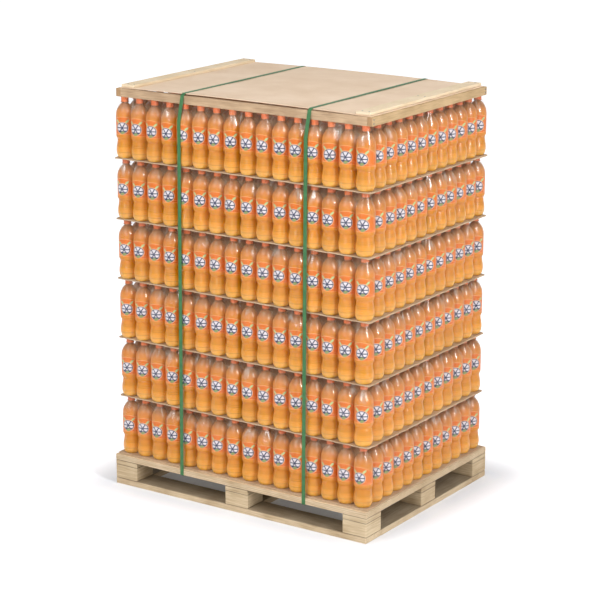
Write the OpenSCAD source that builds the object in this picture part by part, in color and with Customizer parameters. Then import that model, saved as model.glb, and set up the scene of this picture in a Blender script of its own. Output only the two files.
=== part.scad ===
// Palletised load of drink bottles: six layers of filled bottles in clear shrink
// film, a board pad under each layer, a timber top frame and two plastic straps,
// all standing on a nine-block pallet. Millimetres, +Z up, the origin at the
// middle of the underside. X runs along the long side of the pallet.

/* [Load] */
// Layers of bottles
layers = 6; // [1:1:6]
// Free space between two neighbouring bottles
bottle_gap = 0.6; // [0.35:0.05:1.5]

/* [Bottle] */
// Largest radius of the bottle
bottle_r = 37.2; // [30:0.05:42]
// Height of the bottle up to the lip, under the cap's top
bottle_h = 240; // [205:0.1:270]
// Radius of the ring on which the bottle stands
foot_r = 25; // [18:0.5:28]
// Width of that ring
foot_w = 5; // [3:0.5:8]
// Height of the hollow in the middle of the foot
foot_rise = 6; // [3:0.5:9]
// Height of the widest point of the lower bulge
belly_z = 31; // [26:1:40]
// Radius of the waist under the label
waist_r = 32.2; // [28:0.1:35]
// Height of the narrowest point of the waist
waist_z = 74; // [62:1:78]
// Height of the label's lower edge
label_z = 85; // [80:1:90]
// Height of the label
label_h = 84; // [60:1:90]
// How full the shoulder's dome is
dome_fullness = 2.2; // [1.4:0.1:2.8]
// Radius of the neck under the support ring
neck_r = 12.6; // [12:0.1:14]
// Height of the straight part of the neck
neck_h = 3; // [2:0.5:6]
// Radius of the support ring
ring_r = 16.4; // [15.8:0.1:18]
// Thickness of the support ring
ring_t = 1.8; // [1.2:0.1:2.4]
// Radius of the threaded finish inside the cap
finish_r = 12.3; // [11.5:0.1:12.6]
// Height of the finish over the support ring
finish_h = 17; // [15:0.5:20]

/* [Label] */
// Thickness of the label sleeve
label_t = 0.3; // [0.2:0.05:0.5]
// Play between the label and the bottle
label_play = 0.1; // [0.05:0.05:0.2]

/* [Cap] */
// Outer radius of the cap
cap_r = 15; // [14:0.1:16]
// Thickness of the cap's top
cap_top = 1.6; // [1:0.1:2.5]
// Play between the cap's skirt and the finish
cap_play = 0.3; // [0.2:0.05:0.6]
// Play between the cap's skirt and the support ring
cap_lift = 0.4; // [0.3:0.1:1]
// Bevel round the cap's top edge
cap_bevel = 1.2; // [0.4:0.1:2]
// Height of the tear-off band at the cap's foot
band_h = 3.6; // [2.5:0.1:5]
// Width of the groove over that band
groove_w = 0.6; // [0.4:0.1:1]
// Depth of the groove
groove_d = 0.5; // [0.3:0.1:0.8]

/* [Shrink film] */
// Thickness of the film
film_t = 0.35; // [0.3:0.05:0.6]
// Play between the film and the bottles
film_play = 0.15; // [0.1:0.05:0.4]

/* [Pads] */
// Thickness of the pads between the layers
pad_t = 5; // [3:0.5:8]
// How far the pads stick out past the bottles at the ends
pad_out_x = 1.5; // [0:0.5:15]
// How far the pads stop short of the bottles' outline at the long sides
pad_in_y = 9.5; // [0:0.5:12]
// Radius of the pads' corners
pad_corner = 8; // [2:1:20]
// Thickness of the pad on the pallet
base_pad_t = 5; // [3:0.5:10]
// How far the pad on the pallet sticks out past the bottles at the ends
base_pad_out_x = 5.8; // [0:0.1:20]
// How far the pad on the pallet sticks out past the bottles at the long sides
base_pad_out_y = 2.3; // [0:0.1:25]

/* [Pallet] */
// Length of the pallet
pallet_l = 1219; // [1190:1:1400]
// Width of the pallet
pallet_w = 928; // [890:1:1100]
// Thickness of the deck panel
deck_t = 25; // [16:1:30]
// Height of the packing piece on each block
block_top_t = 20; // [12:1:24]
// Height of the blocks
block_h = 57; // [50:1:90]
// Side of the blocks, and width of the boards under them
block_w = 108; // [90:1:140]
// Thickness of the bottom boards
bottom_t = 25; // [16:1:28]
// Play where a bottom board meets the side of another
board_play = 0.3; // [0.1:0.1:1]

/* [Top frame] */
// How far the frame stays inside the bottles' outline at the ends
frame_in_x = 3.2; // [0:0.1:20]
// How far the frame stays inside the bottles' outline at the long sides
frame_in_y = 24.5; // [0:0.5:30]
// Height of the rim boards
rim_h = 33; // [24:1:60]
// Thickness of the rim boards
rim_t = 22; // [16:1:28]
// Thickness of the top sheet
sheet_t = 3; // [2:0.5:6]
// How far the top sheet stops short of the frame's outer faces
sheet_in = 12; // [4:1:20]
// How far the top sheet bows up in the middle
sheet_rise = 6; // [0:0.5:12]
// Width of the slats on the sheet
slat_w = 62; // [40:1:90]
// Thickness of the slats
slat_t = 11; // [8:1:20]
// How far the slats' outer edges stay inside the frame's ends
slat_in_x = 18; // [12:1:60]
// How far the slats' ends stay inside the frame's long sides
slat_in_y = 13; // [4:1:40]

/* [Straps] */
// Width of the straps
strap_w = 16; // [10:0.5:25]
// Thickness of the straps
strap_t = 1; // [0.8:0.1:2]
// Distance of each strap from the middle between them
strap_x = 295; // [150:5:400]
// How far that middle lies to the right of the load's
strap_shift = 27; // [0:1:60]
// Play between the straps and what they pass
strap_play = 0.2; // [0.1:0.05:0.5]

/* [Hidden] */
$fn = 32;

// Heights of the pallet, from the floor up
z_block = bottom_t;
z_block_top = z_block + block_h;
z_deck = z_block_top + block_top_t;
z_load = z_deck + deck_t + base_pad_t;

// The layer's grid: as many bottles as the pallet has room for
pitch = 2 * bottle_r + bottle_gap;
last_x = floor(pallet_l / pitch) - 1;
last_y = floor(pallet_w / pitch) - 1;
grid_x = last_x / 2 * pitch;
grid_y = last_y / 2 * pitch;
unit_h = bottle_h + cap_top;
layer_h = unit_h + pad_t;
z_rim = z_load + layers * layer_h - pad_t;
function layer_z(k) = z_load + (k - 1) * layer_h;
function spots(m) = [for (i = [m:last_x - m], j = [m:last_y - m])
    if (i == m || j == m || i == last_x - m || j == last_y - m)
        [i * pitch - grid_x, j * pitch - grid_y]];

// The outline of the bottles of a layer
load_x = grid_x + bottle_r;
load_y = grid_y + bottle_r;

// Heights on the bottle, from the lip down to the label
ring_z = bottle_h - finish_h - ring_t;
neck_z = ring_z - neck_h;
shoulder_z = min(label_z + label_h, neck_z - neck_r);
shoulder_h = neck_z - shoulder_z;
sleeve_h = shoulder_z - label_z;
panel_r = bottle_r - label_t - label_play;

// The bottle's profile, as radius and height: an elliptic heel, a waist that
// swings in and out again, the label panel and a domed shoulder
heel_steps = 6;
waist_steps = 4;
rise_steps = 2;
dome_steps = 6;
function heel_at(a) = [foot_r + (bottle_r - foot_r) * sin(a), belly_z * (1 - cos(a))];
function swing(s) = (1 - cos(180 * s)) / 2;
function waist_at(s) = [bottle_r - (bottle_r - waist_r) * swing(s), belly_z + (waist_z - belly_z) * s];
function rise_at(s) = [waist_r + (panel_r - waist_r) * swing(s), waist_z + (label_z - waist_z) * s];
function dome_at(s) = [panel_r - (panel_r - neck_r) * pow(s, dome_fullness),
    shoulder_z + shoulder_h * s];
heel = [for (i = [0:heel_steps]) heel_at(90 * i / heel_steps)];
waist = [for (i = [1:waist_steps]) waist_at(i / waist_steps)];
rise = [for (i = [1:rise_steps]) rise_at(i / rise_steps)];
dome = [for (i = [0:dome_steps]) dome_at(i / dome_steps)];
profile = concat([[0, foot_rise], [foot_r - foot_w, 0]], heel, waist, rise, dome,
    [[neck_r, ring_z], [ring_r, ring_z], [ring_r, ring_z + ring_t],
     [finish_r, ring_z + ring_t], [finish_r, bottle_h], [0, bottle_h]]);

// The cap, over the finish
cap_z = ring_z + ring_t + cap_lift;
cap_h = unit_h - cap_z;
cap_bore = finish_r + cap_play;
cap_wall = [[cap_r, 0], [cap_r, band_h], [cap_r - groove_d, band_h],
    [cap_r - groove_d, band_h + groove_w], [cap_r, band_h + groove_w],
    [cap_r, cap_h - cap_bevel], [cap_r - cap_bevel, cap_h], [0, cap_h]];

// A hidden bottle's profile over its shoulder, in one with its cap
top_profile = concat([[0, shoulder_z - ring_t], [panel_r, shoulder_z - ring_t]], dome,
    [[neck_r, ring_z], [ring_r, ring_z], [ring_r, ring_z + ring_t], [cap_r, ring_z + ring_t],
     [cap_r, unit_h - cap_bevel], [cap_r - cap_bevel, unit_h], [0, unit_h]]);

// The film's wall, as distance from the row's axes and height: round the heel, up
// the bottles, over the shoulder and straight on to the caps' edges
film_in = bottle_r + film_play;
film_heel = [for (i = [3:heel_steps]) let (p = heel_at(90 * i / heel_steps)) [p[0] + film_play, p[1]]];
film_dome = [for (i = [1:2]) let (p = dome_at(i / dome_steps)) [p[0] + label_t + label_play
    + film_play, p[1]]];
film_inner = concat(film_heel, [[film_in, shoulder_z]], film_dome,
    [[cap_r + film_play, unit_h - cap_bevel]]);
film_outer = [for (p = film_inner) [p[0] + film_t, p[1]]];
film_wall = concat(film_inner, [for (i = [len(film_outer) - 1:-1:0]) film_outer[i]]);

// The top frame, and the sheet that bows up between its ends
frame_x = load_x - frame_in_x;
frame_y = load_y - frame_in_y;
z_sheet = z_rim + rim_h;
sheet_x = frame_x - sheet_in;
sheet_y = frame_y - sheet_in;
sheet_steps = 16;
function bow_at(x) = sheet_rise * (1 - pow(x / sheet_x, 2));
bow = [for (i = [-sheet_steps:2:sheet_steps]) let (x = sheet_x * i / sheet_steps) [x, bow_at(x)]];
sheet_face = concat(bow, [for (i = [len(bow) - 1:-1:0]) [bow[i][0], bow[i][1] + sheet_t]]);
slat_x = frame_x - slat_in_x - slat_w / 2;
z_slat = z_sheet + sheet_t + bow_at(slat_x - slat_w / 2);

// A box between two corners
module slab(low, high) {
    translate(low) cube(high - low);
}

// The pallet's feet: a board under each long side, and three across between them
module pallet_bottom_boards() {
    color("#CDB78F") {
        for (s = [-1, 1]) translate([-pallet_l / 2, s * (pallet_w - block_w) / 2 - block_w / 2, 0])
            cube([pallet_l, block_w, bottom_t]);
        for (s = [-1, 0, 1]) translate([s * (pallet_l - block_w) / 2 - block_w / 2,
            block_w - pallet_w / 2 + board_play, 0])
            cube([block_w, pallet_w - 2 * block_w - 2 * board_play, bottom_t]);
    }
}

// Nine places in three rows, for the blocks and their packing pieces
module on_blocks(z, h) {
    for (i = [-1, 0, 1], j = [-1, 0, 1]) translate([i * (pallet_l - block_w) / 2 - block_w / 2,
        j * (pallet_w - block_w) / 2 - block_w / 2, z]) cube([block_w, block_w, h]);
}
module pallet_blocks() { color("#D2BC94") on_blocks(z_block, block_h); }
module pallet_block_tops() { color("#D8C49C") on_blocks(z_block_top, block_top_t); }

// The deck, one panel
module pallet_deck() {
    color("#D5C19A") slab([-pallet_l / 2, -pallet_w / 2, z_deck],
        [pallet_l / 2, pallet_w / 2, z_deck + deck_t]);
}

// The pad under one layer: the lowest covers the deck, the others the bottles below
module layer_pad(k) {
    x = load_x + (k == 1 ? base_pad_out_x : pad_out_x);
    y = load_y + (k == 1 ? base_pad_out_y : -pad_in_y);
    t = k == 1 ? base_pad_t : pad_t;
    c = pad_corner;
    color("#B59468") translate([0, 0, layer_z(k) - t]) {
        slab([-x, c - y, 0], [x, y - c, t]);
        slab([c - x, -y, 0], [x - c, y, t]);
        for (i = [-1, 1], j = [-1, 1]) translate([i * (x - c), j * (y - c), 0]) cylinder(r = c, h = t);
    }
}

// The filled bottles round the edge of one layer
module bottles_layer(k) {
    color("#E9963C") for (p = spots(0)) translate([p[0], p[1], layer_z(k)])
        rotate_extrude() polygon(profile);
}

// The label sleeves of the bottles round the edge
module labels_layer(k) {
    color("#F07A38") for (p = spots(0)) translate([p[0], p[1], layer_z(k) + label_z])
        rotate_extrude() translate([panel_r + label_play, 0]) square([label_t, sleeve_h]);
}

// The screw caps of the bottles round the edge
module caps_layer(k) {
    color("#E5703C") for (p = spots(0)) translate([p[0], p[1], layer_z(k) + cap_z])
        rotate_extrude() polygon(concat([[cap_bore, 0]], cap_wall,
            [[0, cap_h - cap_top], [cap_bore, cap_h - cap_top]]));
}

// The bottles inside the layer: one plain block up to their shoulders, and over it
// the tops of the row behind the outer one, which show between the outer necks
module inner_bottles_layer(k) {
    x = grid_x - bottle_r - bottle_gap;
    y = grid_y - bottle_r - bottle_gap;
    color("#C77F35") translate([0, 0, layer_z(k)]) {
        slab([-x, -y, 0], [x, y, shoulder_z]);
        for (p = spots(1)) translate([p[0], p[1], 0]) rotate_extrude() polygon(top_profile);
    }
}

// The outer skin of the film round one layer
module film_layer(k) {
    color("#F4F4F4", 0.25) translate([0, 0, layer_z(k)]) {
        for (a = [0:3]) {
            px = a == 0 || a == 3 ? grid_x : -grid_x;
            py = a < 2 ? grid_y : -grid_y;
            translate([px, py, 0]) rotate([0, 0, 90 * a])
                rotate_extrude(angle = 90) polygon(film_wall);
        }
        for (s = [0, 180]) rotate([0, 0, s]) {
            translate([grid_x, grid_y, 0]) rotate([90, 0, 0])
                linear_extrude(2 * grid_y) polygon(film_wall);
            translate([-grid_x, grid_y, 0]) rotate([90, 0, 90])
                linear_extrude(2 * grid_x) polygon(film_wall);
        }
    }
}

// The timber frame on the caps: the end boards cover the ends of the long ones
module rim_end(s) {
    x = s * (frame_x - rim_t / 2);
    color("#C2A478") slab([x - rim_t / 2, -frame_y, z_rim], [x + rim_t / 2, frame_y, z_sheet]);
}
module rim_side(s) {
    x = frame_x - rim_t;
    y = s * (frame_y - rim_t / 2);
    color("#B08E66") slab([-x, y - rim_t / 2, z_rim], [x, y + rim_t / 2, z_sheet]);
}
module top_rim_front() { rim_side(-1); }
module top_rim_back() { rim_side(1); }
module top_rim_left() { rim_end(-1); }
module top_rim_right() { rim_end(1); }

// The bowed sheet on the frame
module top_sheet() {
    color("#DCC3A8") translate([0, sheet_y, z_sheet]) rotate([90, 0, 0])
        linear_extrude(2 * sheet_y) polygon(sheet_face);
}

// A slat across each end of the sheet
module top_slat(s) {
    x = s * slat_x;
    color("#EADBB8") slab([x - slat_w / 2, slat_in_y - frame_y, z_slat],
        [x + slat_w / 2, frame_y - slat_in_y, z_slat + slat_t]);
}
module top_slat_left() { top_slat(-1); }
module top_slat_right() { top_slat(1); }

// A strap over the sheet, down the two long sides and under the deck. Each point
// is where it bends, as distance from the middle and height: the sheet's edge, the
// rim, the shoulders of the top layer and the deck's two edges
film_y = grid_y + film_in + film_t;
strap_bow = bow_at(strap_x - strap_shift - strap_w / 2);
strap_turns = [[sheet_y, z_sheet + sheet_t + strap_bow], [frame_y, z_sheet],
    [max(film_y, frame_y), layer_z(layers) + shoulder_z + shoulder_h / dome_steps],
    [max(film_y, frame_y, pallet_w / 2), z_deck + deck_t], [pallet_w / 2, z_deck]];
module strap_line() {
    n = len(strap_turns);
    polygon(concat(strap_turns, [for (i = [n - 1:-1:0]) [-strap_turns[i][0], strap_turns[i][1]]]));
}
module strap(x) {
    color("#4E8C63") translate([x - strap_w / 2, 0, 0]) rotate([90, 0, 90])
        linear_extrude(strap_w) difference() {
            offset(delta = strap_play + strap_t) strap_line();
            offset(delta = strap_play) strap_line();
        }
}
module strap_left() { strap(strap_shift - strap_x); }
module strap_right() { strap(strap_shift + strap_x); }

pallet_bottom_boards();
pallet_blocks();
pallet_block_tops();
pallet_deck();
layer_pad(1);  // layer_pad_1
layer_pad(2);  // layer_pad_2
layer_pad(3);  // layer_pad_3
layer_pad(4);  // layer_pad_4
layer_pad(5);  // layer_pad_5
layer_pad(6);  // layer_pad_6
bottles_layer(1);  // bottles_layer_1
bottles_layer(2);  // bottles_layer_2
bottles_layer(3);  // bottles_layer_3
bottles_layer(4);  // bottles_layer_4
bottles_layer(5);  // bottles_layer_5
bottles_layer(6);  // bottles_layer_6
labels_layer(1);  // labels_layer_1
labels_layer(2);  // labels_layer_2
labels_layer(3);  // labels_layer_3
labels_layer(4);  // labels_layer_4
labels_layer(5);  // labels_layer_5
labels_layer(6);  // labels_layer_6
caps_layer(1);  // caps_layer_1
caps_layer(2);  // caps_layer_2
caps_layer(3);  // caps_layer_3
caps_layer(4);  // caps_layer_4
caps_layer(5);  // caps_layer_5
caps_layer(6);  // caps_layer_6
inner_bottles_layer(1);  // inner_bottles_layer_1
inner_bottles_layer(2);  // inner_bottles_layer_2
inner_bottles_layer(3);  // inner_bottles_layer_3
inner_bottles_layer(4);  // inner_bottles_layer_4
inner_bottles_layer(5);  // inner_bottles_layer_5
inner_bottles_layer(6);  // inner_bottles_layer_6
film_layer(1);  // film_layer_1
film_layer(2);  // film_layer_2
film_layer(3);  // film_layer_3
film_layer(4);  // film_layer_4
film_layer(5);  // film_layer_5
film_layer(6);  // film_layer_6
top_rim_front();
top_rim_back();
top_rim_left();
top_rim_right();
top_sheet();
top_slat_left();
top_slat_right();
strap_left();
strap_right();
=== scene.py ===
# The looks of a strapped pallet load of bottled drink, on the frame that the
# part's source gives. Metres, +Z up, X along the pallet's long side.
import math

import bmesh
import bpy
import numpy as np
from mathutils.geometry import convex_hull_2d
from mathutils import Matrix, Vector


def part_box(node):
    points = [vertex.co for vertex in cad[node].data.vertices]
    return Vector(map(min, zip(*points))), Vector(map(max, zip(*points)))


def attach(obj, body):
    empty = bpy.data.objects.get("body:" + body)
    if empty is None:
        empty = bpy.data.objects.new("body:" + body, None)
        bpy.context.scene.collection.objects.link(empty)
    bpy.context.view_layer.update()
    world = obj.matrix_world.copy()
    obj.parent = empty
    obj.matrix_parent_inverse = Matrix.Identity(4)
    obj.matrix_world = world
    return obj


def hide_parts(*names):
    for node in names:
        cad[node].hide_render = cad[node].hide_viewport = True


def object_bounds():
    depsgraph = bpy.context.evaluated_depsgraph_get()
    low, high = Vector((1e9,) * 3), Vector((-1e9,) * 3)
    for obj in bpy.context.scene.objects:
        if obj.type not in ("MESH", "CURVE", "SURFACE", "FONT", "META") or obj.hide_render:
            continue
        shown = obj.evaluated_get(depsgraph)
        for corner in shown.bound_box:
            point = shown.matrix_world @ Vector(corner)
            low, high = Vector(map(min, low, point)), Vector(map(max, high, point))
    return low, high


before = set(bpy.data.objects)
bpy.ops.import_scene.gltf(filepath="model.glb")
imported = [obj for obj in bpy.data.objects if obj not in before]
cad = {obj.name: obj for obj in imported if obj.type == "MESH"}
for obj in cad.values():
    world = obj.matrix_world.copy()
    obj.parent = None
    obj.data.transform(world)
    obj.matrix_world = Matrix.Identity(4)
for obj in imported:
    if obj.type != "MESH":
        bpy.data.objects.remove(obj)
cad_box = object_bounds()


# The camera: it stands off the load's front right corner, about a storey up,
# and looks down a little, through a long lens, so that the edges stay parallel.
MIDDLE = (0, 0, 0.8)
VIEW_AZIMUTH, VIEW_ELEVATION, VIEW_DISTANCE = 34.06, 14.97, 8.437
LOOK_DOWN, LOOK_ASIDE = 15.17, 0.05


def on_sphere(azimuth, elevation, distance):
    """A point so far from the load's middle; the angles are in degrees."""
    a, e = math.radians(azimuth), math.radians(elevation)
    away = (math.sin(a) * math.cos(e), -math.cos(a) * math.cos(e), math.sin(e))
    return [c + distance * d for c, d in zip(MIDDLE, away)]


camera = bpy.data.objects.new("camera", bpy.data.cameras.new("camera"))
bpy.context.scene.collection.objects.link(camera)
bpy.context.scene.camera = camera
camera.data.sensor_width = 36
camera.data.lens = 124.96
camera.data.clip_end = 100
camera.location = on_sphere(VIEW_AZIMUTH, VIEW_ELEVATION, VIEW_DISTANCE)
camera.rotation_euler = (math.radians(90 - LOOK_DOWN), 0, math.radians(VIEW_AZIMUTH + LOOK_ASIDE))


# The studio: a seamless white floor under an even white sky. A tall strip and a
# short high one light the right side, a broad soft lamp the front and a low one
# the gaps under the deck. A wider strip shows only as a shine on glossy faces.
MATH, RANGE, MIX = "ShaderNodeMath", "ShaderNodeMapRange", "ShaderNodeMix"
LAMPS = (  # name, azimuth, elevation, distance, width, height, watts
    ("strip_right", 70, 18, 5.0, 0.2, 3.2, 92),
    ("strip_high", 73, 46, 5.0, 0.25, 1.4, 46),
    ("strip_glint", 72, 34, 5.0, 0.8, 3.2, 340),
    ("lamp_front", -12, 40, 6.0, 3.0, 3.0, 130),
    ("lamp_low", 5, 9, 5.0, 2.5, 0.8, 28),
)
SKY_LIGHT = 0.5
FLOOR_HALF = 30
FADE, UNDER_EDGE = 0.34, 0.002
FLOOR_GLOW, FOOT_GLOW, UNDER_GLOW, BOUNCE_GLOW = 0.68, 0.1, 0.06, 0.16


def linear(code):
    """The linear colour of an sRGB hex code."""
    parts = [int(code[i:i + 2], 16) / 255 for i in (1, 3, 5)]
    return [p / 12.92 if p <= 0.04045 else ((p + 0.055) / 1.055) ** 2.4 for p in parts] + [1.0]


def feed(tree, node, inputs):
    """Write values to a node's inputs, and link sockets, or nodes by their first output, to them."""
    for key, value in inputs.items() if isinstance(inputs, dict) else enumerate(inputs):
        if isinstance(value, bpy.types.Node):
            value = value.outputs[0]
        if isinstance(value, bpy.types.NodeSocket):
            tree.links.new(value, node.inputs[key])
        else:
            node.inputs[key].default_value = value
    return node


def add(tree, kind, inputs=(), **settings):
    node = tree.nodes.new(kind)
    for name, value in settings.items():
        setattr(node, name, value)
    return feed(tree, node, inputs)


def mesh_object(name, points, faces, material=None, smooth=False):
    mesh = bpy.data.meshes.new(name)
    mesh.from_pydata([tuple(p) for p in points], [], [tuple(f) for f in faces])
    mesh.polygons.foreach_set("use_smooth", [smooth] * len(mesh.polygons))
    mesh.update()
    thing = bpy.data.objects.new(name, mesh)
    bpy.context.scene.collection.objects.link(thing)
    if material:
        mesh.materials.append(material)
    return thing


def new_finish(name):
    material = bpy.data.materials.new(name)
    material.use_nodes = True
    return material, material.node_tree, material.node_tree.nodes["Principled BSDF"]


def to_the_eye(tree):
    """1 for what the camera sees straight, mirrored or through something clear, else 0."""
    ray = add(tree, "ShaderNodeLightPath").outputs
    direct = add(tree, MATH, (ray["Is Camera Ray"], ray["Is Glossy Ray"]), operation="MAXIMUM")
    return add(tree, MATH, (direct, ray["Is Transmission Ray"]), operation="MAXIMUM")


# Rolled floor paint is matte. It glows a little of its own, so that it shows white: fully past FADE from the
# load, less at its foot and least under it, which paints a soft shadow round and under the load. To all
# other rays it glows at BOUNCE_GLOW, a painted fill light on the load from below.
floor_paint, tree, shader = new_finish("white floor paint")
feed(tree, shader, {"Base Color": linear("#EAECF0"), "Roughness": 0.9})
parts = add(tree, "ShaderNodeSeparateXYZ", (add(tree, "ShaderNodeTexCoord").outputs["Object"],))
outside = []
for axis in (0, 1):
    away = add(tree, MATH, (parts.outputs[axis],), operation="ABSOLUTE")
    past = add(tree, MATH, (away, cad_box[1][axis]), operation="SUBTRACT")
    outside.append(add(tree, MATH, (past, 0.0), operation="MAXIMUM"))
away = add(tree, "ShaderNodeCombineXYZ", outside)
clear = add(tree, "ShaderNodeVectorMath", (away,), operation="LENGTH").outputs["Value"]
# Painted shadow: the glow is weaker at the load's foot and weakest under it.
fade = add(tree, RANGE, (clear, 0.0, FADE, FOOT_GLOW, FLOOR_GLOW), interpolation_type="SMOOTHSTEP")
open_floor = add(tree, MATH, (clear, UNDER_EDGE), operation="GREATER_THAN")
glow = add(tree, MIX, {0: open_floor, 2: UNDER_GLOW, 3: fade})
# Painted fill light: to rays other than the eye's, the floor glows at BOUNCE_GLOW and lights the load from
# below.
glow = add(tree, MIX, {0: to_the_eye(tree), 2: BOUNCE_GLOW, 3: glow})
light = add(tree, "ShaderNodeEmission", {"Color": (1, 1, 1, 1), "Strength": glow})
both = add(tree, "ShaderNodeAddShader", (shader, light))
feed(tree, tree.nodes["Material Output"], {"Surface": both})
corners = [(x * FLOOR_HALF, y * FLOOR_HALF, 0) for x, y in ((-1, -1), (1, -1), (1, 1), (-1, 1))]
floor = mesh_object("studio_floor", corners, [(0, 1, 2, 3)], floor_paint)

world = bpy.data.worlds.new("studio")
bpy.context.scene.world = world
world.use_nodes = True
tree = world.node_tree
sky = feed(tree, tree.nodes["Background"], {"Color": linear("#F6F7FA"), "Strength": SKY_LIGHT})
white = add(tree, "ShaderNodeBackground", {"Color": (1, 1, 1, 1), "Strength": 1.0})
both = add(tree, "ShaderNodeMixShader", (to_the_eye(tree), sky, white))
feed(tree, tree.nodes["World Output"], {"Surface": both})
for name, azimuth, elevation, distance, wide, tall, power in LAMPS:
    lamp = bpy.data.objects.new(name, bpy.data.lights.new(name, "AREA"))
    bpy.context.scene.collection.objects.link(lamp)
    lamp.data.shape = "RECTANGLE"
    lamp.data.size, lamp.data.size_y = wide, tall
    lamp.data.energy = power
    lamp.location = on_sphere(azimuth, elevation, distance)
    lamp.rotation_euler = (math.pi / 2 - math.radians(elevation), 0, math.radians(azimuth))
    lamp.visible_diffuse = name != "strip_glint"
bpy.context.scene.view_settings.view_transform = "Standard"


# Wood: the pallet, the frame and the slats are pine, sawn and left bare, so their
# faces are matte, faintly ridged, and pale with darker rings. The rings are drawn
# 3 to 4 mm apart, coarser than in most pine, so that they show.
GRAIN_STRETCH = 28
RIDGE = 0.0012
PATCHES_PER_M = 9.0  # patches about 110 mm across
RING_SHARE, PATCH_SHARE = 0.75, 0.5
# Joint lines: painted shade and dust where one piece meets the next.
JOINT_LINE, JOINT_EDGE, JOINT_SHADE = 0.0007, 0.0026, 0.55


def two_tone(tree, value, low, dark, high, pale):
    """A colour that is dark up to the low value and pale from the high one."""
    ramp = add(tree, "ShaderNodeValToRGB", (value,))
    for end, where, code in zip(ramp.color_ramp.elements, (low, high), (dark, pale)):
        end.position, end.color = where, linear(code)
    return ramp


def shaded(tree, colour, share):
    """The colour, darkened or brightened by a share."""
    return add(tree, MIX, {0: 1.0, 6: colour, 7: share}, data_type="RGBA",
               blend_type="MULTIPLY").outputs[2]


def pine(name, pale, dark, along, ring, ridges=0.25, roughness=0.75, cross=None, joints=()):
    """along: the axes that the grain runs along, both level ones for slabs. cross: how far from
    the middle line the boards lie crosswise. joints: the heights of joint lines darkened by painted shade
    and dust."""
    material, tree, shader = new_finish(name)
    place = add(tree, "ShaderNodeTexCoord").outputs["Object"]
    parts = add(tree, "ShaderNodeSeparateXYZ", (place,)).outputs

    def grain(lengthways):
        scale = [1 / ring] * 3
        for axis in lengthways:
            scale[axis] = 1 / (ring * GRAIN_STRETCH)
        return add(tree, "ShaderNodeMapping", {"Vector": place, "Scale": scale})

    vector = grain(along)
    if cross:
        aside = 1 - along[0]
        off_middle = add(tree, MATH, (parts[aside],), operation="ABSOLUTE")
        inside = add(tree, MATH, (off_middle, cross), operation="LESS_THAN")
        vector = add(tree, MIX, {0: inside, 4: vector, 5: grain((aside,))}, data_type="VECTOR").outputs[1]
    rings = add(tree, "ShaderNodeTexNoise", {"Vector": vector, "Scale": 1.0, "Detail": 4.0,
                                             "Roughness": 0.6, "Distortion": 0.4})
    patches = add(tree, "ShaderNodeTexNoise", {"Vector": place, "Scale": PATCHES_PER_M, "Detail": 2.0})
    tone = add(tree, MATH, (rings, RING_SHARE), operation="MULTIPLY")
    tone = add(tree, MATH, (patches, PATCH_SHARE, tone), operation="MULTIPLY_ADD")
    colour = two_tone(tree, tone, 0.42, dark, 0.78, pale)
    # Painted shade and dust: a darker line at each joint height.
    for joint in joints:
        above = add(tree, MATH, (parts[2], joint), operation="SUBTRACT")
        near = add(tree, MATH, (above,), operation="ABSOLUTE")
        colour = shaded(tree, colour, add(tree, RANGE, (near, JOINT_LINE, JOINT_EDGE, JOINT_SHADE, 1.0)))
    bump = add(tree, "ShaderNodeBump", {"Height": rings, "Strength": ridges, "Distance": RIDGE})
    feed(tree, shader, {"Base Color": colour, "Normal": bump, "Roughness": roughness,
                        "Specular IOR Level": 0.3})
    return material


# A sawn board: a box whose edges are rounded a little by handling, and whose
# faces wander by a few tenths of a millimetre along its length.
ROW_STEP = 0.035
LONG_WAVE, SHORT_WAVE = 17, 41  # radians a metre, so waves about 370 and 150 mm long


def loft(rings, around, closed=False):
    """Faces that join rings of so many points; a closed loft runs on from the last ring to the first."""
    faces = [[r * around + i, r * around + (i + 1) % around,
              (r + 1) % rings * around + (i + 1) % around, (r + 1) % rings * around + i]
             for r in range(rings if closed else rings - 1) for i in range(around)]
    if not closed:
        faces += [list(range(around))[::-1], list(range((rings - 1) * around, rings * around))]
    return faces


def board(low, high, wander=0.0004, edge=0.0012):
    low, high = np.array(low), np.array(high)
    size = high - low
    along = int(np.argmax(size))
    u, v = [k for k in range(3) if k != along]
    steps = max(2, int(size[along] / ROW_STEP))
    rows = [(0.0, edge * 0.9), (edge, 0.0)] + [(size[along] * i / steps, 0.0) for i in range(1, steps)]
    rows += [(size[along] - edge, 0.0), (size[along], edge * 0.9)]
    section = []
    for cu, cv, start in ((1, 1, 0), (0, 1, 90), (0, 0, 180), (1, 0, 270)):
        for turn in (0, 45, 90):
            a = math.radians(start + turn)
            section.append((cu * size[u] + (1 - 2 * cu) * edge + edge * math.cos(a),
                            cv * size[v] + (1 - 2 * cv) * edge + edge * math.sin(a)))
    points, seed = [], abs(low[0] * 7 + low[1] * 13 + low[2] * 29)
    for far, shrink in rows:
        drift = [wander * math.sin(seed * 9 + far * LONG_WAVE + 1.3 * k)
                 * math.sin(far * SHORT_WAVE + seed * 5 + k) for k in range(2)]
        for pu, pv in section:
            point = [0.0] * 3
            point[along] = low[along] + far
            inward_u = shrink * (1 if pu < size[u] / 2 else -1)
            inward_v = shrink * (1 if pv < size[v] / 2 else -1)
            point[u] = low[u] + pu + inward_u + drift[0]
            point[v] = low[v] + pv + inward_v + drift[1] * 0.5
            points.append(point)
    faces = loft(len(rows), len(section))
    if along == 1:
        faces = [f[::-1] for f in faces]
    return points, faces


def stands_for(thing, node):
    """Put a piece in the place of a node of the frame."""
    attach(thing, "root")
    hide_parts(node)


def boards(name, node, boxes, material, **how):
    points, faces = [], []
    for low, high in boxes:
        board_points, board_faces = board(low, high, **how)
        faces += [[i + len(points) for i in face] for face in board_faces]
        points += board_points
    stands_for(mesh_object(name, points, faces, material), node)


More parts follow.
